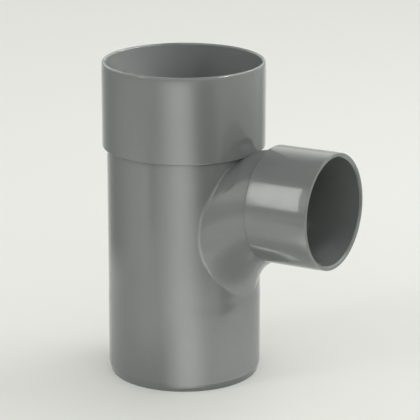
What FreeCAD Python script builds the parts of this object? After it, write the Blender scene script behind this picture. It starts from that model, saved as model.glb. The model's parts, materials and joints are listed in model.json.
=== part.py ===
import FreeCAD, Part
import math
import os

# A reduced, swept tee for drain pipe, moulded as one piece of grey PVC.
# The run stands upright: a plain spigot at the foot and a solvent socket at the head.
# The branch is a smaller solvent socket that leaves the run almost level, and a swept neck
# turns its flow down into the run.
# Origin: centre of the spigot's end. +Z goes up the run, +X goes out along the branch.
# Lengths are in millimetres, angles in degrees.

# Pipes that the fitting joins, outside diameters
run_pipe = 110.0
branch_pipe = 75.0
socket_play = 0.4  # a socket's bore over its pipe, on the diameter

# Run
branch_height = 133.8  # from the spigot's end up to where the branch's axis leaves the run's
run_stop_rise = 37.2  # from there up to the head socket's stop
run_socket_depth = 58.0
run_wall = 3.2
run_socket_wall = 2.8
run_step = 3.3  # from the socket's stop down to the ledge outside
spigot_length = 56.0  # from the foot, the stretch that is held to the pipe's size
spigot_chamfer = 1.5  # taken off the radius
spigot_chamfer_length = 6.0
barrel_draw = 0.25  # the barrel's radius falls by this above the spigot, wall and all
barrel_draw_length = 7.0  # the height over which it does

# Branch
branch_angle = 88.5  # between the branch's axis and the spigot below it
branch_stop_reach = 79.4  # from the run's axis out to the branch socket's stop
branch_socket_depth = 43.5
branch_socket_wall = 3.5
branch_stop_width = 2.1  # how far the stop stands in from the socket's bore
branch_step = 4.4  # from the socket's stop back to the ledge outside

# Swept neck
neck_wall = 3.6
throat_radius = 38.0  # outside, under the branch, where it turns down into the run
sweep_inset = 0.3  # how far inside the barrel's outer face the sweep ends

# Mouths and edges
lip_length = 6.0  # a socket's outside draws in over this length at the mouth
lip_draw = 0.3
lead_in = 1.0  # inside a mouth, at 45 degrees
rim_break = 0.6  # taken off a mouth's outer edge
ledge_break = 0.6  # taken off a ledge's outer edge

# How far a cutting solid runs past the face that it opens
past = 2.0

UP = FreeCAD.Vector(0, 0, 1)
ACROSS = FreeCAD.Vector(0, 1, 0)

run_radius = run_pipe / 2
run_bore = run_radius - run_wall
run_socket_bore = (run_pipe + socket_play) / 2
branch_socket_bore = (branch_pipe + socket_play) / 2
neck_bore = branch_socket_bore - branch_stop_width
neck_radius = neck_bore + neck_wall

run_stop = branch_height + run_stop_rise
head = run_stop + run_socket_depth
branch_mouth = branch_stop_reach + branch_socket_depth

# The branch rises by what its angle lacks to square.
rise = math.radians(90 - branch_angle)
branch_axis = FreeCAD.Vector(math.cos(rise), 0, math.sin(rise))
branch_up = branch_axis.cross(ACROSS)
branch_root = UP * branch_height


def turned(outline):
    """Solid turned about Z from a closed outline of (radius, height) points."""
    # The outline lies on the side away from the branch, which keeps the seam off the neck.
    points = [FreeCAD.Vector(-radius, 0, height) for radius, height in outline]
    face = Part.Face(Part.makePolygon(points + points[:1]))
    return face.revolve(FreeCAD.Vector(), UP, 360)


def along_branch(shape):
    """The same shape, made about Z from the origin, laid along the branch's axis."""
    laid = shape.copy()
    laid.Placement = FreeCAD.Placement(branch_root, FreeCAD.Rotation(UP, branch_axis))
    return laid


def barrel_outline(radius, top):
    """Line of the run, outside or inside, from the spigot's size up through the barrel."""
    return [
        (radius, spigot_length),
        (radius - barrel_draw, spigot_length + barrel_draw_length),
        (radius - barrel_draw, top),
    ]


def socket_outline(radius, ledge, mouth):
    """Outer line of a socket, from its ledge to the middle of its mouth."""
    lip = radius - lip_draw
    return [
        (radius - ledge_break, ledge),
        (radius, ledge + ledge_break),
        (radius, mouth - lip_length),
        (lip, mouth - rim_break),
        (lip - rim_break, mouth),
        (0, mouth),
    ]


def bore_outline(bore, stop, mouth):
    """Inner line of a socket, from its stop, out through the lead-in and past the mouth."""
    return [
        (bore, stop),
        (bore, mouth - lead_in),
        (bore + lead_in + past, mouth + past),
        (0, mouth + past),
    ]


def run_outside():
    """Spigot, barrel and head socket as one turned solid."""
    ledge = run_stop - run_step
    foot = [
        (0, 0),
        (run_radius - spigot_chamfer, 0),
        (run_radius, spigot_chamfer_length),
    ]
    outline = foot + barrel_outline(run_radius, ledge)
    return turned(outline + socket_outline(run_socket_bore + run_socket_wall, ledge, head))


def run_hollow():
    """The run's bore, with the head socket and its lead-in."""
    bore = [(0, -past), (run_bore, -past)] + barrel_outline(run_bore, run_stop)
    return turned(bore + bore_outline(run_socket_bore, run_stop, head))


def branch_outside():
    """The branch's socket, from its ledge to its mouth."""
    ledge = branch_stop_reach - branch_step
    radius = branch_socket_bore + branch_socket_wall
    return along_branch(turned([(0, ledge)] + socket_outline(radius, ledge, branch_mouth)))


def branch_hollow():
    """The bore of the branch's socket, from its stop out through the mouth."""
    outline = bore_outline(branch_socket_bore, branch_stop_reach, branch_mouth)
    return along_branch(turned([(0, branch_stop_reach)] + outline))


def neck(radius):
    """Round bar on the neck's path: straight in from the branch's lip, then swept down into the run."""
    bend_radius = throat_radius + neck_radius
    centre_out = run_radius - barrel_draw - sweep_inset + throat_radius
    # The bend starts square to the branch's axis, so its centre lies straight below that axis.
    centre_drop = bend_radius / math.cos(rise) - centre_out * math.tan(rise)
    centre = branch_root + FreeCAD.Vector(centre_out, 0, -centre_drop)
    bend_start = (centre - branch_root).dot(branch_axis)
    start = branch_root + branch_axis * bend_start
    disc = Part.Face(Part.Wire(Part.Circle(start, branch_axis, radius).toShape()))
    straight = disc.extrude(branch_axis * (branch_mouth - lip_length - bend_start))
    # Crown and throat are swept apart, because they turn on very different radii.
    left, right = start + ACROSS * radius, start - ACROSS * radius
    swept = []
    for side in (1, -1):
        arc = Part.Arc(left, start + branch_up * (side * radius), right).toShape()
        chord = Part.LineSegment(right, left).toShape()
        half = Part.Face(Part.Wire([arc, chord]))
        swept.append(half.revolve(centre, -ACROSS, branch_angle).toNurbs())
    return straight.fuse(swept)


def tee():
    """The moulding: its outside, less the ways through it."""
    outside = run_outside().fuse([neck(neck_radius), branch_outside()])
    ways = run_hollow().fuse([neck(neck_bore), branch_hollow()])
    return outside.cut(ways).removeSplitter()


os.makedirs("parts", exist_ok=True)
body = tee().Solids[0]
body.exportStep("parts/tee_body.step")
print("tee_body", len(body.Faces), "faces,", round(body.Volume / 1000, 1), "cm3, valid", body.isValid())
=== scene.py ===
"""A grey PVC drain tee, moulded in one piece, on a pale studio floor.

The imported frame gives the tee's box and its mounts. The tee itself is made again here as a fine mesh of
the same form: a Geometry Nodes tree turns and sweeps its walls and cuts the ways through them, with the
small radii that a mould leaves on rims and ledges. Lengths are in millimetres until a mesh is made, and in
metres from there on.
"""
from __future__ import annotations

import json
import logging
import math
from dataclasses import dataclass, field
from enum import Enum
from typing import Any, Sequence

import bpy
import numpy as np
from mathutils import Matrix, Vector

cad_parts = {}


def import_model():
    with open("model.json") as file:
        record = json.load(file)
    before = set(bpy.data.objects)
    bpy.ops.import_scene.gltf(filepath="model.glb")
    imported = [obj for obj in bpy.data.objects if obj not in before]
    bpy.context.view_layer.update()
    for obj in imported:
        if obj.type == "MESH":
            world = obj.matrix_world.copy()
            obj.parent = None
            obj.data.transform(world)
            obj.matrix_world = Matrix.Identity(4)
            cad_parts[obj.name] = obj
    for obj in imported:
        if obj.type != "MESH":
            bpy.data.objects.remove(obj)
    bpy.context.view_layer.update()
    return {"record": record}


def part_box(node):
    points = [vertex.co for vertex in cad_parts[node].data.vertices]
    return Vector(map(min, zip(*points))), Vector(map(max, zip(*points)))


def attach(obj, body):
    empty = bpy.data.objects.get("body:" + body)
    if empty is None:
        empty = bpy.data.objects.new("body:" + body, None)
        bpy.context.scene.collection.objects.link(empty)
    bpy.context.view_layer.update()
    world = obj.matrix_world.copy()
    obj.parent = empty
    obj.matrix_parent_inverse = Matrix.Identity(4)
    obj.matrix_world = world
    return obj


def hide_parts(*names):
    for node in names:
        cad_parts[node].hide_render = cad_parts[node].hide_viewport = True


log = logging.getLogger("drain_tee")

METRE = 1000.0  # millimetres in a metre
WELD = 1e-6  # metres within which the points at a turned solid's seam and poles are joined
NODE = "tee_body"
BODY = "root"

Point = tuple[float, float]
Corner = tuple[float, float, float]  # distance from the axis, height and corner radius


class Line(Enum):
    """The lines that the moulding is made from.

    Each value marks that line's points in the mesh that holds them.
    """

    RUN_OUTSIDE = 0
    RUN_WAY = 1
    BRANCH_OUTSIDE = 2
    BRANCH_WAY = 3
    NECK_PATH = 4


class Render(Enum):
    """How smooth the round forms are: flat sides round a run, round a branch, and along the bend."""

    RUN_SIDES = 200
    BRANCH_SIDES = 160
    BEND_STEPS = 60


def linear(code: str) -> tuple[float, float, float, float]:
    """Turn an sRGB hex colour to linear.

    Args:
        code: The colour as "#rrggbb".

    Returns:
        Red, green, blue and a full alpha.
    """
    def channel(value: int) -> float:
        """One channel, from 0 to 255, as linear light."""
        share = value / 255
        return share / 12.92 if share <= 0.04045 else ((share + 0.055) / 1.055) ** 2.4

    red, green, blue = (channel(int(code[i:i + 2], 16)) for i in (1, 3, 5))
    return red, green, blue, 1.0


def add_node(tree: bpy.types.NodeTree, kind: str, settings: dict[str, Any] | None = None,
             links: dict[str | int, Any] | None = None) -> bpy.types.Node:
    """Add a node with its settings and what feeds it.

    Args:
        tree: The node tree.
        kind: The node's type name.
        settings: Properties of the node, by name.
        links: For an input, by name or number: a socket to link, a list of sockets, or a plain value.

    Returns:
        The new node.
    """
    node = tree.nodes.new(kind)
    for name, value in (settings or {}).items():
        setattr(node, name, value)
    for key, value in (links or {}).items():
        socket = node.inputs[key]
        for source in value if isinstance(value, list) else [value]:
            if isinstance(source, bpy.types.NodeSocket):
                tree.links.new(source, socket)
            else:
                socket.default_value = source
    return node


def rounded(corners: Sequence[Corner], steps: int = 5) -> list[Point]:
    """Draw a line through corners, each with its own radius.

    Args:
        corners: Distance from the axis, height and corner radius, in order along the line.
        steps: Flat sides in a rounded corner.

    Returns:
        The line's points.
    """
    points: list[Point] = []
    for i, (across, along, radius) in enumerate(corners):
        here = np.array((across, along))
        if radius == 0 or i in (0, len(corners) - 1):
            points.append((across, along))
            continue
        back = np.array(corners[i - 1][:2]) - here
        ahead = np.array(corners[i + 1][:2]) - here
        back /= np.linalg.norm(back)
        ahead /= np.linalg.norm(ahead)
        half = math.acos(float(np.clip(back @ ahead, -1, 1))) / 2
        centre = here + (back + ahead) / np.linalg.norm(back + ahead) * radius / math.sin(half)
        start = here + back * radius / math.tan(half) - centre
        end = here + ahead * radius / math.tan(half) - centre
        sweep = math.pi - 2 * half
        for k in range(steps + 1):
            share = k / steps
            arm = (start * math.sin((1 - share) * sweep) + end * math.sin(share * sweep)) / math.sin(sweep)
            points.append(tuple(float(v) for v in centre + arm))
    return points


def spaced(points: Sequence[Point], longest: float) -> list[Point]:
    """Divide a line's long stretches evenly.

    Args:
        points: The line's points.
        longest: The longest stretch to leave.

    Returns:
        The same line with points added.
    """
    out = [points[0]]
    for start, end in zip(points, points[1:]):
        count = max(1, math.ceil(math.dist(start, end) / longest))
        for k in range(1, count + 1):
            out.append(tuple(a + (b - a) * k / count for a, b in zip(start, end)))
    return out


@dataclass(frozen=True)
class TeeSizes:
    """Sizes of the tee in millimetres, those of the mounts read from the frame."""

    run_radius: float
    run_socket_bore: float
    branch_socket_bore: float
    run_stop: float
    head: float
    branch_rise: float
    branch_height: float
    branch_stop: float
    branch_mouth: float
    run_wall: float = 3.2
    run_socket_radius: float = 58.0
    run_step: float = 3.3  # from the head socket's stop down to the ledge outside
    spigot_top: float = 56.0
    spigot_chamfer: float = 1.5
    spigot_chamfer_length: float = 6.0
    barrel_draw: float = 0.25
    barrel_draw_length: float = 7.0
    branch_socket_wall: float = 3.5
    branch_stop_width: float = 2.1
    branch_step: float = 4.4  # from the branch socket's stop back to the ledge outside
    neck_wall: float = 3.6
    throat_radius: float = 38.0
    sweep_inset: float = 0.3  # how far inside the barrel's outer face the sweep ends
    lip_length: float = 6.0
    lip_draw: float = 0.3
    lead_in: float = 1.0
    edge_radius: float = 0.9  # on the ledges
    run_rim_radius: float = 1.4
    branch_rim_radius: float = 0.6
    inner_radius: float = 0.3  # inside the mouths, at the stops and at the foot
    chamfer_radius: float = 12.0  # where the spigot's chamfer ends
    blend_radius: float = 60.0  # where a wall starts or ends its draw
    past: float = 2.0  # how far a cutting solid runs past the face that it opens

    @classmethod
    def from_frame(cls, record: dict[str, Any], top: float) -> TeeSizes:
        """Read the sizes that the mounts state.

        Args:
            record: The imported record.
            top: Height of the tee, in metres.

        Returns:
            The sizes.
        """
        mounts = {mount["name"]: mount for mount in record["mounts"]}
        run, branch = mounts["run_socket"], mounts["branch_socket"]
        rise = math.atan2(branch["axis"][2], branch["axis"][0])
        reach = branch["pos_m"][0] / math.cos(rise) * METRE
        half = branch["dims"]["length_mm"] / 2
        return cls(
            run_radius=mounts["spigot"]["dims"]["r_mm"],
            run_socket_bore=run["dims"]["r_mm"],
            branch_socket_bore=branch["dims"]["r_mm"],
            run_stop=run["pos_m"][2] * METRE - run["dims"]["length_mm"] / 2,
            head=top * METRE,
            branch_rise=rise,
            branch_height=branch["pos_m"][2] * METRE - reach * math.sin(rise),
            branch_stop=reach - half,
            branch_mouth=reach + half + cls.lead_in,
        )

    @property
    def run_bore(self) -> float:
        """Radius of the run's way through the spigot."""
        return self.run_radius - self.run_wall

    @property
    def neck_bore(self) -> float:
        """Radius of the neck's way."""
        return self.branch_socket_bore - self.branch_stop_width

    @property
    def neck_radius(self) -> float:
        """Radius of the neck's outside."""
        return self.neck_bore + self.neck_wall

    @property
    def bend_radius(self) -> float:
        """Radius of the neck's path where it turns down."""
        return self.throat_radius + self.neck_radius

    @property
    def bend_centre(self) -> np.ndarray:
        """Centre of that turn.

        Returns:
            Distance out along +X, and height.
        """
        out = self.run_radius - self.barrel_draw - self.sweep_inset + self.throat_radius
        drop = self.bend_radius / math.cos(self.branch_rise) - out * math.tan(self.branch_rise)
        return np.array((out, self.branch_height - drop))

    @property
    def branch_axis(self) -> np.ndarray:
        """Direction of the branch, as out and up."""
        return np.array((math.cos(self.branch_rise), math.sin(self.branch_rise)))

    @property
    def bend_start(self) -> float:
        """Distance along the branch's axis at which the neck starts to turn down."""
        return float((self.bend_centre - (0, self.branch_height)) @ self.branch_axis)


@dataclass(frozen=True)
class TeeLines:
    """Draws the tee's lines: four outlines to turn and one path to sweep along."""

    sizes: TeeSizes
    longest: float = 3.0

    def barrel(self, radius: float, top: float) -> list[Corner]:
        """Draw the run's wall from the spigot's size up through the barrel.

        Args:
            radius: The wall's radius at the spigot, outside or inside.
            top: Height at which the barrel ends.

        Returns:
            The wall's corners.
        """
        s = self.sizes
        drawn = radius - s.barrel_draw
        drawn_in = s.spigot_top + s.barrel_draw_length
        return [(radius, s.spigot_top, s.blend_radius), (drawn, drawn_in, s.blend_radius), (drawn, top, 0)]

    def socket(self, radius: float, ledge: float, mouth: float, rim: float) -> list[Corner]:
        """Draw a socket's outside, from its ledge round its rim to the middle of its mouth.

        Args:
            radius: The socket's outer radius.
            ledge: Where it starts, along its axis.
            mouth: Where it ends.
            rim: Radius of its rim's outer edge.

        Returns:
            The outside's corners.
        """
        s = self.sizes
        return [
            (radius, ledge, s.edge_radius),
            (radius, mouth - s.lip_length, s.blend_radius),
            (radius - s.lip_draw, mouth, rim),
            (0, mouth, 0),
        ]

    def bore(self, bore: float, stop: float, mouth: float) -> list[Corner]:
        """Draw a socket's inside, from its stop out past the mouth.

        Args:
            bore: The socket's inner radius.
            stop: Where its pipe stops, along its axis.
            mouth: Where it ends.

        Returns:
            The inside's corners.
        """
        s = self.sizes
        return [
            (bore, stop, s.inner_radius),
            (bore, mouth - s.lead_in, s.inner_radius),
            (bore + s.lead_in + s.past, mouth + s.past, 0),
            (0, mouth + s.past, 0),
        ]

    def run_outside(self) -> list[Point]:
        """Draw spigot, barrel and head socket.

        Returns:
            The outline's points, as distance from the axis and height.
        """
        s = self.sizes
        ledge = s.run_stop - s.run_step
        chamfered = s.run_radius - s.spigot_chamfer
        foot = [
            (0, 0, 0),
            (chamfered, 0, s.inner_radius),
            (s.run_radius, s.spigot_chamfer_length, s.chamfer_radius),
        ]
        socket = self.socket(s.run_socket_radius, ledge, s.head, s.run_rim_radius)
        line = foot + self.barrel(s.run_radius, ledge) + socket
        return spaced(rounded(line), self.longest)

    def run_way(self) -> list[Point]:
        """Draw the way through the run, with the head socket's bore.

        Returns:
            The outline's points, as distance from the axis and height.
        """
        s = self.sizes
        opened = s.run_bore + s.inner_radius
        foot = [(0, -s.past, 0), (opened + s.past, -s.past, 0), (s.run_bore, s.inner_radius, s.inner_radius)]
        line = foot + self.barrel(s.run_bore, s.run_stop) + self.bore(s.run_socket_bore, s.run_stop, s.head)
        return spaced(rounded(line), self.longest)

    def branch_outside(self) -> list[Point]:
        """Draw the branch's socket.

        Returns:
            The outline's points, as distance from the branch's axis and along it.
        """
        s = self.sizes
        ledge = s.branch_stop - s.branch_step
        radius = s.branch_socket_bore + s.branch_socket_wall
        line = [(0, ledge, 0)] + self.socket(radius, ledge, s.branch_mouth, s.branch_rim_radius)
        return spaced(rounded(line), self.longest)

    def branch_way(self) -> list[Point]:
        """Draw the branch socket's bore.

        Returns:
            The outline's points, as distance from the branch's axis and along it.
        """
        s = self.sizes
        line = [(0, s.branch_stop, 0)] + self.bore(s.branch_socket_bore, s.branch_stop, s.branch_mouth)
        return spaced(rounded(line), self.longest)

    def neck_path(self) -> list[Point]:
        """Draw the neck's middle line: straight in from the branch's lip, then down into the run.

        Returns:
            The line's points, as distance out and height.
        """
        s = self.sizes
        root = np.array((0, s.branch_height))
        lip = root + s.branch_axis * (s.branch_mouth - s.lip_length)
        start = root + s.branch_axis * s.bend_start
        straight = spaced([tuple(lip), tuple(start)], self.longest)
        turned = []
        for k in range(1, Render.BEND_STEPS.value + 1):
            angle = math.pi / 2 + s.branch_rise + k / Render.BEND_STEPS.value * (math.pi / 2 - s.branch_rise)
            turned.append(tuple(s.bend_centre + s.bend_radius * np.array((math.cos(angle), math.sin(angle)))))
        return [(float(x), float(z)) for x, z in straight + turned]

    def mesh(self) -> bpy.types.Mesh:
        """Put all the lines into one mesh of edges, in metres.

        Returns:
            The mesh, with each line's number on its points.
        """
        lines = {
            Line.RUN_OUTSIDE: self.run_outside(),
            Line.RUN_WAY: self.run_way(),
            Line.BRANCH_OUTSIDE: self.branch_outside(),
            Line.BRANCH_WAY: self.branch_way(),
            Line.NECK_PATH: self.neck_path(),
        }
        points: list[tuple[float, float, float]] = []
        edges: list[tuple[int, int]] = []
        marks: list[int] = []
        for line, drawn in lines.items():
            first = len(points)
            points += [(x / METRE, 0.0, z / METRE) for x, z in drawn]
            edges += [(i, i + 1) for i in range(first, len(points) - 1)]
            marks += [line.value] * len(drawn)
        mesh = bpy.data.meshes.new("tee_lines")
        mesh.from_pydata(points, edges, [])
        mesh.attributes.new("line", "INT", "POINT").data.foreach_set("value", marks)
        return mesh


class MouldingTree:
    """Geometry Nodes tree that turns and sweeps the lines into walls and cuts the ways through them."""

    INPUTS = (
        ("Run sides", "NodeSocketInt"),
        ("Branch sides", "NodeSocketInt"),
        ("Neck radius", "NodeSocketFloat"),
        ("Neck bore", "NodeSocketFloat"),
        ("Branch height", "NodeSocketFloat"),
        ("Branch tilt", "NodeSocketFloat"),
        ("Finish", "NodeSocketMaterial"),
    )

    def __init__(self) -> None:
        """Make the tree's sockets and nodes."""
        self.tree = bpy.data.node_groups.new("turned and swept moulding", "GeometryNodeTree")
        face = self.tree.interface
        face.new_socket("Lines", in_out="INPUT", socket_type="NodeSocketGeometry")
        self.sockets = {
            name: face.new_socket(name, in_out="INPUT", socket_type=kind) for name, kind in self.INPUTS
        }
        face.new_socket("Moulding", in_out="OUTPUT", socket_type="NodeSocketGeometry")
        self.inputs = add_node(self.tree, "NodeGroupInput").outputs
        self.build()

    def line(self, which: Line) -> bpy.types.NodeSocket:
        """Pick out one line.

        Args:
            which: The line.

        Returns:
            Its points and edges.
        """
        mark = add_node(self.tree, "GeometryNodeInputNamedAttribute", {"data_type": "INT"}, {"Name": "line"})
        same = add_node(self.tree, "FunctionNodeCompare", {"data_type": "INT", "operation": "EQUAL"},
                        {2: mark.outputs[0], 3: which.value})
        return add_node(self.tree, "GeometryNodeSeparateGeometry", {"domain": "POINT"},
                        {"Geometry": self.inputs["Lines"], "Selection": same.outputs[0]}).outputs["Selection"]

    def turned(self, which: Line, sides: bpy.types.NodeSocket) -> bpy.types.NodeSocket:
        """Turn an outline about Z into a closed solid.

        Args:
            which: The outline.
            sides: How many flat sides the solid has round its axis.

        Returns:
            The solid.
        """
        tree = self.tree
        outline = self.line(which)
        points = add_node(tree, "GeometryNodeAttributeDomainSize", {"component": "MESH"},
                          {0: outline}).outputs[0]
        rows = add_node(tree, "ShaderNodeMath", {"operation": "ADD"}, {0: sides, 1: 1.0}).outputs[0]
        grid = add_node(tree, "GeometryNodeMeshGrid", None, {"Vertices X": rows, "Vertices Y": points})
        index = add_node(tree, "GeometryNodeInputIndex").outputs[0]
        along = add_node(tree, "ShaderNodeMath", {"operation": "FLOORED_MODULO"},
                         {0: index, 1: points}).outputs[0]
        step = add_node(tree, "ShaderNodeMath", {"operation": "DIVIDE"}, {0: index, 1: points}).outputs[0]
        around = add_node(tree, "ShaderNodeMath", {"operation": "FLOOR"}, {0: step}).outputs[0]
        share = add_node(tree, "ShaderNodeMath", {"operation": "DIVIDE"}, {0: around, 1: sides}).outputs[0]
        angle = add_node(tree, "ShaderNodeMath", {"operation": "MULTIPLY"},
                         {0: share, 1: math.tau}).outputs[0]
        place = add_node(tree, "GeometryNodeInputPosition").outputs[0]
        drawn = add_node(tree, "GeometryNodeSampleIndex", {"data_type": "FLOAT_VECTOR", "domain": "POINT"},
                         {"Geometry": outline, "Value": place, "Index": along}).outputs[0]
        spun = add_node(tree, "ShaderNodeVectorRotate", {"rotation_type": "Z_AXIS"},
                        {"Vector": drawn, "Angle": angle}).outputs[0]
        wall = add_node(tree, "GeometryNodeSetPosition", None,
                        {"Geometry": grid.outputs[0], "Position": spun})
        return add_node(tree, "GeometryNodeMergeByDistance", None,
                        {"Geometry": wall.outputs[0], "Distance": WELD}).outputs[0]

    def along_branch(self, solid: bpy.types.NodeSocket) -> bpy.types.NodeSocket:
        """Lay a solid that stands on the origin along the branch's axis.

        Args:
            solid: The solid.

        Returns:
            The same solid in its place.
        """
        lift = add_node(self.tree, "ShaderNodeCombineXYZ", None,
                        {"Z": self.inputs["Branch height"]}).outputs[0]
        tilt = add_node(self.tree, "ShaderNodeCombineXYZ", None,
                        {"Y": self.inputs["Branch tilt"]}).outputs[0]
        return add_node(self.tree, "GeometryNodeTransform", None,
                        {"Geometry": solid, "Translation": lift, "Rotation": tilt}).outputs[0]

    def swept(self, radius: bpy.types.NodeSocket) -> bpy.types.NodeSocket:
        """Sweep a round bar along the neck's path.

        Args:
            radius: The bar's radius.

        Returns:
            The bar, closed at its ends.
        """
        path = add_node(self.tree, "GeometryNodeMeshToCurve", None,
                        {"Mesh": self.line(Line.NECK_PATH)}).outputs[0]
        ring = add_node(self.tree, "GeometryNodeCurvePrimitiveCircle", {"mode": "RADIUS"},
                        {"Resolution": self.inputs["Branch sides"], "Radius": radius}).outputs[0]
        return add_node(self.tree, "GeometryNodeCurveToMesh", None,
                        {"Curve": path, "Profile Curve": ring, "Fill Caps": True}).outputs[0]

    def build(self) -> None:
        """Join the walls, cut the ways and finish the result."""
        tree, inputs = self.tree, self.inputs
        outside = [
            self.turned(Line.RUN_OUTSIDE, inputs["Run sides"]),
            self.along_branch(self.turned(Line.BRANCH_OUTSIDE, inputs["Branch sides"])),
            self.swept(inputs["Neck radius"]),
        ]
        ways = [
            self.turned(Line.RUN_WAY, inputs["Run sides"]),
            self.along_branch(self.turned(Line.BRANCH_WAY, inputs["Branch sides"])),
            self.swept(inputs["Neck bore"]),
        ]
        walls = add_node(tree, "GeometryNodeMeshBoolean", {"operation": "UNION", "solver": "MANIFOLD"},
                         {"Mesh 2": outside}).outputs[0]
        holes = add_node(tree, "GeometryNodeMeshBoolean", {"operation": "UNION", "solver": "MANIFOLD"},
                         {"Mesh 2": ways}).outputs[0]
        cut = add_node(tree, "GeometryNodeMeshBoolean", {"operation": "DIFFERENCE", "solver": "MANIFOLD"},
                       {"Mesh 1": walls, "Mesh 2": holes}).outputs[0]
        real = add_node(tree, "GeometryNodeRealizeInstances", None, {"Geometry": cut}).outputs[0]
        done = add_node(tree, "GeometryNodeSetMaterial", None,
                        {"Geometry": real, "Material": inputs["Finish"]}).outputs[0]
        add_node(tree, "NodeGroupOutput", None, {"Moulding": done})


def evaluated_mesh(piece: bpy.types.Object, name: str) -> bpy.types.Mesh:
    """Take what a piece's modifiers make as a plain mesh of its own.

    Args:
        piece: The piece.
        name: The new mesh's name.

    Returns:
        The mesh.
    """
    seen = piece.evaluated_get(bpy.context.evaluated_depsgraph_get())
    mesh = bpy.data.meshes.new_from_object(seen)
    mesh.name = name
    return mesh


@dataclass
class Tee:
    """The tee as one fine, closed mesh."""

    sizes: TeeSizes
    finish: bpy.types.Material
    sharp_angle: float = 40.0  # an edge that turns more than this stays crisp
    piece: bpy.types.Object = field(init=False)

    def build(self) -> bpy.types.Object:
        """Make the mesh from its lines.

        Returns:
            The finished piece, at the origin.
        """
        piece = bpy.data.objects.new("drain_tee", TeeLines(self.sizes).mesh())
        bpy.context.scene.collection.objects.link(piece)
        tree = MouldingTree()
        values = {
            "Run sides": Render.RUN_SIDES.value,
            "Branch sides": Render.BRANCH_SIDES.value,
            "Neck radius": self.sizes.neck_radius / METRE,
            "Neck bore": self.sizes.neck_bore / METRE,
            "Branch height": self.sizes.branch_height / METRE,
            "Branch tilt": math.pi / 2 - self.sizes.branch_rise,
            "Finish": self.finish,
        }
        modifier = piece.modifiers.new("moulding", "NODES")
        modifier.node_group = tree.tree
        for name, value in values.items():
            modifier[tree.sockets[name].identifier] = value
        moulded = evaluated_mesh(piece, "drain_tee")
        piece.modifiers.clear()
        piece.data = moulded
        self.piece = piece
        self.smooth()
        return piece

    def smooth(self) -> None:
        """Shade the round walls smooth, with the flat and long faces leading at each point."""
        mesh = self.piece.data
        mesh.shade_smooth()
        mesh.set_sharp_from_angle(angle=math.radians(self.sharp_angle))
        lead = self.piece.modifiers.new("leading faces", "WEIGHTED_NORMAL")
        lead.keep_sharp = True
        finished = evaluated_mesh(self.piece, "drain_tee")
        self.piece.modifiers.clear()
        self.piece.data = finished

    def place(self) -> None:
        """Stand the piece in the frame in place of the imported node."""
        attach(self.piece, BODY)
        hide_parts(NODE)


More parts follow.
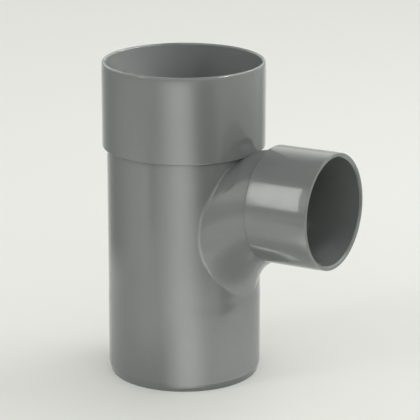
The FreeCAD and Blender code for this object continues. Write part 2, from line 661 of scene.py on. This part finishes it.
@dataclass(frozen=True)
class MouldedPVC:
    """Unplasticised PVC, grey right through, injection moulded in a polished steel mould.

    It has a close satin gloss: a window shows in it with soft edges. The eye finds no grain on it, only a
    faint cloudiness of the grey, a skin that is a little glossier in some places than in others, long shallow
    waves where the wall has shrunk in cooling, and a fine peel that breaks up the edge of a highlight.
    """

    colour: str = "#6d706f"
    cloud: str = "#676a69"
    cloud_size: float = 32.0
    cloud_detail: float = 3.0
    gloss: tuple[float, float] = (0.105, 0.145)  # roughness where it is glossiest and dullest
    gloss_span: tuple[float, float] = (0.3, 0.7)  # stretch of the pattern that takes it from one to the other
    gloss_size: float = 11.0
    gloss_detail: float = 4.0
    ior: float = 1.54
    wave_size: float = 38.0
    wave_depth: float = 0.05
    peel_size: float = 1.6  # finer on a real moulding, and drawn as coarse as it needs to show
    peel_depth: float = 0.0022
    relief_detail: float = 1.0
    crease_radius: float = 3.5
    crease_samples: int = 8
    # Where the outer crease of neck and run lies, as lowest and highest x, and lowest and highest z
    crease_zone: tuple[tuple[float, float], tuple[float, float]] = ((4.0, 68.0), (88.0, 166.0))
    crease_fade: float = 8.0  # how softly the radius fades out at the zone's sides

    def noise(self, tree: bpy.types.NodeTree, size: float, detail: float) -> bpy.types.NodeSocket:
        """Add a soft pattern, from 0 to 1.

        Args:
            tree: The material's tree.
            size: Rough size of its patches, in millimetres.
            detail: How many finer layers it has.

        Returns:
            The pattern.
        """
        place = add_node(tree, "ShaderNodeTexCoord").outputs["Object"]
        return add_node(tree, "ShaderNodeTexNoise", {"noise_dimensions": "3D"},
                        {"Vector": place, "Scale": METRE / size, "Detail": detail,
                         "Roughness": 0.5}).outputs[0]

    def raised(self, tree: bpy.types.NodeTree, size: float, depth: float,
               under: bpy.types.NodeSocket) -> bpy.types.NodeSocket:
        """Tilt the surface's direction by a relief.

        Args:
            tree: The material's tree.
            size: Rough size of the relief's swells, in millimetres.
            depth: Its real depth, in millimetres.
            under: The direction before it.

        Returns:
            The tilted direction.
        """
        height = self.noise(tree, size, self.relief_detail)
        return add_node(tree, "ShaderNodeBump", None,
                        {"Height": height, "Strength": 1.0, "Distance": depth / METRE,
                         "Normal": under}).outputs[0]

    def within(self, tree: bpy.types.NodeTree, value: bpy.types.NodeSocket, low: float, high: float,
               most: float) -> bpy.types.NodeSocket:
        """Make a number that is at its most between two bounds and fades to nothing at them.

        Args:
            tree: The material's tree.
            value: What is compared with the bounds, in metres.
            low: Lower bound, in millimetres.
            high: Upper bound, in millimetres.
            most: The number well inside the bounds.

        Returns:
            The number.
        """
        edges = ((low, low + self.crease_fade), (high, high - self.crease_fade))
        rise, fall = (add_node(tree, "ShaderNodeMapRange", {"interpolation_type": "SMOOTHSTEP"},
                               {"Value": value, "From Min": start / METRE,
                                "From Max": end / METRE}).outputs[0]
                      for start, end in edges)
        both = add_node(tree, "ShaderNodeMath", {"operation": "MULTIPLY"}, {0: rise, 1: fall}).outputs[0]
        return add_node(tree, "ShaderNodeMath", {"operation": "MULTIPLY"}, {0: both, 1: most}).outputs[0]

    def eased(self, tree: bpy.types.NodeTree) -> bpy.types.NodeSocket:
        """Ease the crease where the neck meets the run to a small radius, in the shading.

        Args:
            tree: The material's tree.

        Returns:
            The surface's eased direction.
        """
        place = add_node(tree, "ShaderNodeTexCoord").outputs["Object"]
        parts = add_node(tree, "ShaderNodeSeparateXYZ", None, {0: place}).outputs
        (left, right), (low, high) = self.crease_zone
        along = self.within(tree, parts["X"], left, right, self.crease_radius / METRE)
        up = self.within(tree, parts["Z"], low, high, 1.0)
        radius = add_node(tree, "ShaderNodeMath", {"operation": "MULTIPLY"}, {0: along, 1: up}).outputs[0]
        return add_node(tree, "ShaderNodeBevel", {"samples": self.crease_samples},
                        {"Radius": radius}).outputs[0]

    def build(self) -> bpy.types.Material:
        """Make the material.

        Returns:
            The material.
        """
        material = bpy.data.materials.new("moulded grey PVC")
        material.use_nodes = True
        tree = material.node_tree
        tree.nodes.clear()
        colour = add_node(tree, "ShaderNodeMix", {"data_type": "RGBA"},
                          {"Factor": self.noise(tree, self.cloud_size, self.cloud_detail),
                           6: linear(self.cloud), 7: linear(self.colour)}).outputs[2]
        bright, dull = self.gloss
        first, last = self.gloss_span
        gloss = add_node(tree, "ShaderNodeMapRange", None,
                         {"Value": self.noise(tree, self.gloss_size, self.gloss_detail),
                          "From Min": first, "From Max": last, "To Min": bright, "To Max": dull}).outputs[0]
        waves = self.raised(tree, self.wave_size, self.wave_depth, self.eased(tree))
        peel = self.raised(tree, self.peel_size, self.peel_depth, waves)
        shader = add_node(tree, "ShaderNodeBsdfPrincipled", None,
                          {"Base Color": colour, "Roughness": gloss, "IOR": self.ior, "Normal": peel})
        add_node(tree, "ShaderNodeOutputMaterial", None, {"Surface": shader.outputs[0]})
        return material


@dataclass(frozen=True)
class Bearings:
    """Directions round the tee.

    Azimuths count from the camera's side of it, and are positive to the right in the picture.
    """

    camera_azimuth: float

    def outward(self, azimuth: float, elevation: float = 0.0) -> Vector:
        """Find a direction out from the tee.

        Args:
            azimuth: Its azimuth, in degrees.
            elevation: Its angle up from level, in degrees.

        Returns:
            The direction, of length one.
        """
        around = math.radians(self.camera_azimuth + azimuth)
        up = math.radians(elevation)
        return Vector((math.sin(around) * math.cos(up), -math.cos(around) * math.cos(up), math.sin(up)))

    def facing(self, azimuth: float, elevation: float, roll: float) -> Matrix:
        """Find the axes of a flat thing that shines back from a direction, turned in its own plane.

        Args:
            azimuth: Where its back looks, in degrees.
            elevation: The same, up from level.
            roll: Turn in its plane, in degrees.

        Returns:
            The turn that lays it so.
        """
        back = self.outward(azimuth, elevation)
        right = self.outward(azimuth + 90)
        above = back.cross(right)
        turn = math.radians(roll)
        across = right * math.cos(turn) + above * math.sin(turn)
        return Matrix((across, back.cross(across), back)).transposed()


@dataclass(frozen=True)
class Softbox:
    """A soft studio light out of the picture. Its strength is the brightness of its face."""

    name: str
    place: tuple[float, float, float]  # azimuth and elevation in degrees, distance
    back: tuple[float, float, float]  # azimuth and elevation that its back looks to, roll
    width: float
    height: float
    strength: float
    aim: tuple[float, float, float] = (50.0, 0.0, 130.0)
    spread: float = 180.0  # width of its beam, in degrees
    flagged: bool = False  # kept off the floor, as flags beside a lamp would keep it

    def build(self, bearings: Bearings, tee: bpy.types.Object) -> bpy.types.Object:
        """Make the light.

        Args:
            bearings: The directions round the tee.
            tee: The only piece that a flagged light falls on.

        Returns:
            The light.
        """
        lamp = bpy.data.lights.new(self.name, "AREA")
        lamp.shape = "RECTANGLE"
        lamp.size = self.width / METRE
        lamp.size_y = self.height / METRE
        lamp.energy = self.strength * math.pi * lamp.size * lamp.size_y
        lamp.spread = math.radians(self.spread)
        light = bpy.data.objects.new(self.name, lamp)
        light.visible_camera = False
        azimuth, elevation, distance = self.place
        centre = (Vector(self.aim) + bearings.outward(azimuth, elevation) * distance) / METRE
        light.matrix_world = Matrix.Translation(centre) @ bearings.facing(*self.back).to_4x4()
        bpy.context.scene.collection.objects.link(light)
        if self.flagged:
            lit = bpy.data.collections.new(self.name)
            lit.objects.link(tee)
            light.light_linking.receiver_collection = lit
        return light


@dataclass(frozen=True)
class FloorCard:
    """A card in front of the tee, out of the picture, that shows only in its gloss.

    A white card glows and a black one dims the floor behind it. Both fade out towards their edges. A card's
    sides run out so that an upright wall shows them upright: a side that is meant for the stretch of wall
    that faces an azimuth leaves the foot there and goes out at twice that azimuth. Most cards lie flat. A
    strip close to the foot stands up towards its outer edge, and only the lowest wall shows it.
    """

    name: str
    # Along it: distance from the wall, azimuth of its middle, half its width in azimuth
    stations: tuple[tuple[float, float, float], ...]
    fades: tuple[float, float]  # lengths over which it fades in and out
    glow: float = 0.0
    dim: float = 0.0
    rise: float = 0.0  # how far its outer end stands above its inner one
    foot: float = 55.0
    rows: int = 60
    columns: int = 24

    def build(self, bearings: Bearings, height: float) -> bpy.types.Object:
        """Make the card.

        Args:
            bearings: The directions round the tee.
            height: How far above the floor it lies, in millimetres.

        Returns:
            The card.
        """
        points: list[Vector] = []
        weights: list[float] = []
        reaches, middles, halves = zip(*self.stations)
        for row in range(self.rows + 1):
            out = (row / self.rows) ** 2
            reach = reaches[0] + (reaches[-1] - reaches[0]) * out
            middle, half = (float(np.interp(reach, reaches, given)) for given in (middles, halves))
            for column in range(self.columns + 1):
                side = column / self.columns * 2 - 1
                azimuth = middle + half * side
                place = bearings.outward(azimuth) * self.foot + bearings.outward(2 * azimuth) * reach
                points.append((place + Vector((0, 0, height + self.rise * out))) / METRE)
                ends = min(1.0, (reach - reaches[0]) / self.fades[0], (reaches[-1] - reach) / self.fades[1])
                # Smoothly up from nothing at both ends and both sides
                weights.append(math.cos(side * math.pi / 2) ** 2 * ends * ends * (3 - 2 * ends))
        wide = self.columns + 1
        faces = [(i, i + 1, i + 1 + wide, i + wide) for row in range(self.rows)
                 for i in range(row * wide, row * wide + self.columns)]
        mesh = bpy.data.meshes.new(self.name)
        mesh.from_pydata(points, [], faces)
        mesh.attributes.new("weight", "FLOAT", "POINT").data.foreach_set("value", weights)
        mesh.materials.append(self.finish())
        card = bpy.data.objects.new(self.name, mesh)
        for seen in ("visible_camera", "visible_diffuse", "visible_shadow", "visible_transmission"):
            setattr(card, seen, False)
        bpy.context.scene.collection.objects.link(card)
        return card

    def finish(self) -> bpy.types.Material:
        """Make the card's glow and dimming, each as strong as the card is at that place.

        Returns:
            The material.
        """
        material = bpy.data.materials.new(self.name)
        material.use_nodes = True
        material.cycles.emission_sampling = "NONE"
        tree = material.node_tree
        tree.nodes.clear()
        weight = add_node(tree, "ShaderNodeAttribute", {"attribute_name": "weight"}).outputs["Fac"]
        bright = add_node(tree, "ShaderNodeMath", {"operation": "MULTIPLY"},
                          {0: weight, 1: self.glow}).outputs[0]
        clear = add_node(tree, "ShaderNodeMath", {"operation": "MULTIPLY_ADD"},
                         {0: weight, 1: -self.dim, 2: 1.0}).outputs[0]
        glow = add_node(tree, "ShaderNodeEmission", None, {"Strength": bright}).outputs[0]
        through = add_node(tree, "ShaderNodeBsdfTransparent", None, {"Color": clear}).outputs[0]
        both = add_node(tree, "ShaderNodeAddShader", None, {0: glow, 1: through}).outputs[0]
        add_node(tree, "ShaderNodeOutputMaterial", None, {"Surface": both})
        return material


@dataclass(frozen=True)
class View:
    """The photograph's camera, in degrees and millimetres."""

    azimuth: float = 33.0
    elevation: float = 17.079
    distance: float = 1500.0
    aim_height: float = 111.0
    yaw: float = 0.741
    pitch: float = 16.799
    roll: float = -0.031
    focal_pixels: float = 2085.98
    frame_pixels: float = 420.0
    sensor: float = 36.0
    near: float = 100.0
    far: float = 100000.0

    def build(self) -> bpy.types.Object:
        """Make the camera and make it the scene's own.

        Returns:
            The camera.
        """
        up, yaw, pitch = (math.radians(a) for a in (self.elevation, self.yaw, self.pitch))
        place = Vector((0, -math.cos(up), math.sin(up))) * self.distance + Vector((0, 0, self.aim_height))
        ahead = Vector((math.sin(yaw) * math.cos(pitch), math.cos(yaw) * math.cos(pitch), -math.sin(pitch)))
        right = Vector((math.cos(yaw), -math.sin(yaw), 0))
        above = right.cross(ahead)
        turn = Matrix.Rotation(math.radians(self.roll), 3, ahead)
        right, above = turn @ right, turn @ above
        facing = Matrix((right, above, -ahead)).transposed().to_4x4()
        round_z = Matrix.Rotation(math.radians(self.azimuth), 4, "Z")
        camera = bpy.data.objects.new("camera", bpy.data.cameras.new("camera"))
        camera.data.sensor_width = self.sensor
        camera.data.lens = self.focal_pixels / self.frame_pixels * self.sensor
        camera.data.clip_start = self.near / METRE
        camera.data.clip_end = self.far / METRE
        camera.matrix_world = round_z @ Matrix.Translation(place / METRE) @ facing
        bpy.context.scene.collection.objects.link(camera)
        bpy.context.scene.camera = camera
        return camera


@dataclass
class Studio:
    """Pale floor, soft light and camera."""

    view: View = field(default_factory=View)
    floor_size: float = 12000.0
    floor_colour: str = "#e7e7e3"
    sky_colour: str = "#fcfdfa"
    # Elevation in degrees and brightness of the walls and ceiling round the studio
    sky_levels: tuple[tuple[float, float], ...] = (
        (0, 0.7), (10, 0.9), (18, 1.65), (30, 1.7), (40, 1.2), (52, 0.35), (90, 0.35),
    )
    boxes: tuple[Softbox, ...] = (
        Softbox("window", (-63.8, 25.2, 1550), (-75.5, 31.1, 22.2), 159, 1119, 5.5),
        Softbox("top right", (110, 50, 1400), (110, 50, 0), 800, 800, 2.2),
        Softbox("mouth light", (72, 44, 900), (72, 44, 0), 90, 60, 2.1, (-20, 0, 222), 7, flagged=True),
        Softbox("bore light", (70, 72, 700), (70, 72, 0), 40, 40, 0.3, (112, 0, 99), 4, flagged=True),
    )
    cards: tuple[FloorCard, ...] = (
        FloorCard("white strip", ((0.5, 1.5, 21), (5, 1.5, 21)), (0.05, 2.2), glow=2.7, rise=42),
        FloorCard("near strip", ((2, 26, 52), (6.5, 26, 52)), (0.05, 2.2), glow=1.5, rise=28),
        FloorCard("white card", ((58, 1.5, 21), (200, -1.5, 22), (340, -2, 19.5), (480, -1.8, 18),
                                 (640, -2.5, 18), (900, -4, 18.5), (2200, -4, 18.5)), (48, 700), glow=2.75),
        FloorCard("near card", ((37, 26, 52), (330, 25, 50)), (35, 200), glow=1.5),
        FloorCard("left card", ((-2, -30, 26), (60, -26, 28), (800, -24, 24)), (120, 300), glow=0.75),
        FloorCard("black card right", ((250, 20, 14), (900, 15, 13), (2200, 14, 13)), (250, 500), dim=0.85),
        FloorCard("black card front", ((90, 27, 12), (270, 39, 15)), (110, 50), dim=0.72),
        FloorCard("black slat", ((300, -24, 6.5), (640, -24, 6.5)), (100, 60), dim=0.5),
        FloorCard("black card side", ((450, 69, 9), (1200, 69, 9)), (150, 200), dim=0.35),
        FloorCard("black card left", ((200, -62, 22), (2200, -62, 22)), (100, 500), dim=0.7),
    )

    def floor(self) -> None:
        """Lay a large matt sheet under the tee."""
        half = self.floor_size / METRE / 2
        mesh = bpy.data.meshes.new("floor")
        corners = [(-half, -half, 0), (half, -half, 0), (half, half, 0), (-half, half, 0)]
        mesh.from_pydata(corners, [], [(0, 1, 2, 3)])
        sheet = bpy.data.materials.new("matt paper")
        sheet.use_nodes = True
        sheet.node_tree.nodes.clear()
        shader = add_node(sheet.node_tree, "ShaderNodeBsdfPrincipled", None,
                          {"Base Color": linear(self.floor_colour), "Roughness": 1.0,
                           "Specular IOR Level": 0.0})
        add_node(sheet.node_tree, "ShaderNodeOutputMaterial", None, {"Surface": shader.outputs[0]})
        mesh.materials.append(sheet)
        floor = bpy.data.objects.new("floor", mesh)
        bpy.context.scene.collection.objects.link(floor)

    def sky(self) -> None:
        """Give soft light from all round, by its elevation."""
        world = bpy.data.worlds.new("studio")
        world.use_nodes = True
        tree = world.node_tree
        tree.nodes.clear()
        place = add_node(tree, "ShaderNodeTexCoord").outputs["Generated"]
        rise = add_node(tree, "ShaderNodeSeparateXYZ", None, {0: place}).outputs["Z"]
        ramp = add_node(tree, "ShaderNodeValToRGB", None, {"Fac": rise})
        most = max(level for _, level in self.sky_levels)
        tint = linear(self.sky_colour)
        stops = ramp.color_ramp.elements
        while len(stops) < len(self.sky_levels):
            stops.new(0.5)
        for stop, (elevation, level) in zip(stops, self.sky_levels):
            stop.position = math.sin(math.radians(elevation))
            stop.color = (*(channel * level / most for channel in tint[:3]), 1.0)
        glow = add_node(tree, "ShaderNodeBackground", None, {"Color": ramp.outputs[0], "Strength": most})
        add_node(tree, "ShaderNodeOutputWorld", None, {"Surface": glow.outputs[0]})
        bpy.context.scene.world = world

    def build(self, tee: bpy.types.Object) -> None:
        """Make the whole studio.

        Args:
            tee: The piece that it is built round.
        """
        bpy.context.scene.view_settings.view_transform = "Standard"
        bearings = Bearings(self.view.azimuth)
        self.floor()
        self.sky()
        for box in self.boxes:
            box.build(bearings, tee)
        # Each card lies a millimetre above the one before it
        for layer, card in enumerate(self.cards, 1):
            card.build(bearings, float(layer))
        self.view.build()


def main() -> None:
    """Load the frame, make the tee and its studio, and report each piece."""
    logging.basicConfig(level=logging.INFO, format="%(message)s")
    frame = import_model()
    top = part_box(NODE)[1][2]
    tee = Tee(TeeSizes.from_frame(frame["record"], top), MouldedPVC().build())
    piece = tee.build()
    tee.place()
    log.info("%s: %d faces, stands for %s", piece.name, len(piece.data.polygons), NODE)
    Studio().build(piece)


if __name__ == "__main__":
    main()
